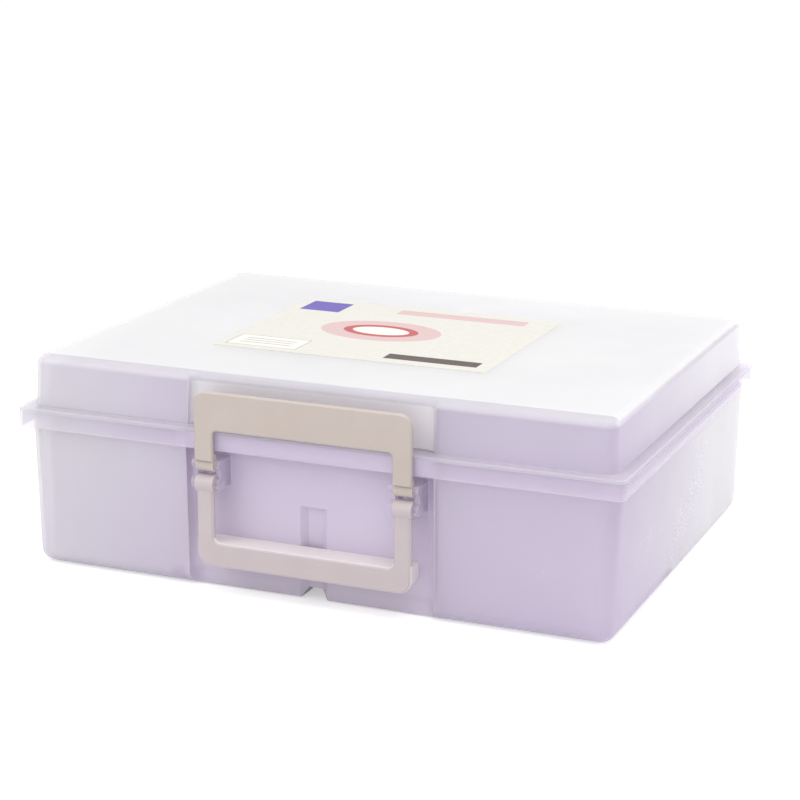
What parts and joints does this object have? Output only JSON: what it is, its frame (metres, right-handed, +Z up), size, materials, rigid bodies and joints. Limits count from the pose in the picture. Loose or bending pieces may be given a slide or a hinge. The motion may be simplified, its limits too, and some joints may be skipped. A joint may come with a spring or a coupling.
{
  "type": "photo keeper case",
  "caption": "Clear hinged carrying case with a front latch and swing handle, holding upright photo boxes in two columns.",
  "frame": {"origin": "middle of the case's footprint, on the surface it stands on", "axes": "+X along the front to the right, +Y to the hinge at the back, +Z up; the latch and handle face -Y"},
  "size_m": [0.381, 0.3, 0.1302],
  "materials": {
    "clear_shell": "clear, slightly hazy",
    "beige_plastic": "satin",
    "label_paper": "matt coated paper",
    "lavender_case": "translucent, tinted"
  },
  "bodies": {
    "tub": {"tub": "clear_shell", "photo_case_tray_01": "lavender_case", "photo_case_tray_02": "lavender_case", "photo_case_tray_03": "lavender_case", "photo_case_tray_04": "lavender_case", "photo_case_tray_05": "lavender_case", "photo_case_tray_06": "lavender_case", "photo_case_tray_07": "lavender_case", "photo_case_tray_08": "lavender_case", "photo_case_tray_09": "lavender_case", "photo_case_tray_10": "lavender_case", "photo_case_tray_11": "lavender_case", "photo_case_tray_12": "lavender_case", "photo_case_tray_13": "lavender_case", "photo_case_tray_14": "lavender_case", "photo_case_tray_15": "lavender_case", "photo_case_tray_16": "lavender_case", "photo_case_cover_01": "lavender_case", "photo_case_cover_02": "lavender_case", "photo_case_cover_03": "lavender_case", "photo_case_cover_04": "lavender_case", "photo_case_cover_05": "lavender_case", "photo_case_cover_06": "lavender_case", "photo_case_cover_07": "lavender_case", "photo_case_cover_08": "lavender_case", "photo_case_cover_09": "lavender_case", "photo_case_cover_10": "lavender_case", "photo_case_cover_11": "lavender_case", "photo_case_cover_12": "lavender_case", "photo_case_cover_13": "lavender_case", "photo_case_cover_14": "lavender_case", "photo_case_cover_15": "lavender_case", "photo_case_cover_16": "lavender_case"},
    "lid": {"lid": "clear_shell", "label": "label_paper"},
    "latch": {"latch": "beige_plastic"},
    "handle": {"handle": "beige_plastic"}
  },
  "joints": [
    {"name": "lid_hinge", "type": "hinge", "parent": "tub", "child": "lid", "pos_m": [0, 0.1458, 0.091], "axis": [-1, 0, 0], "range_deg": [0, 110]},
    {"name": "latch_hinge", "type": "hinge", "parent": "tub", "child": "latch", "pos_m": [0, -0.1445, 0.0785], "axis": [1, 0, 0], "range_deg": [0, 90]},
    {"name": "handle_hinge", "type": "hinge", "parent": "tub", "child": "handle", "pos_m": [0, -0.1445, 0.0671], "axis": [-1, 0, 0], "range_deg": [0, 90]}
  ]
}
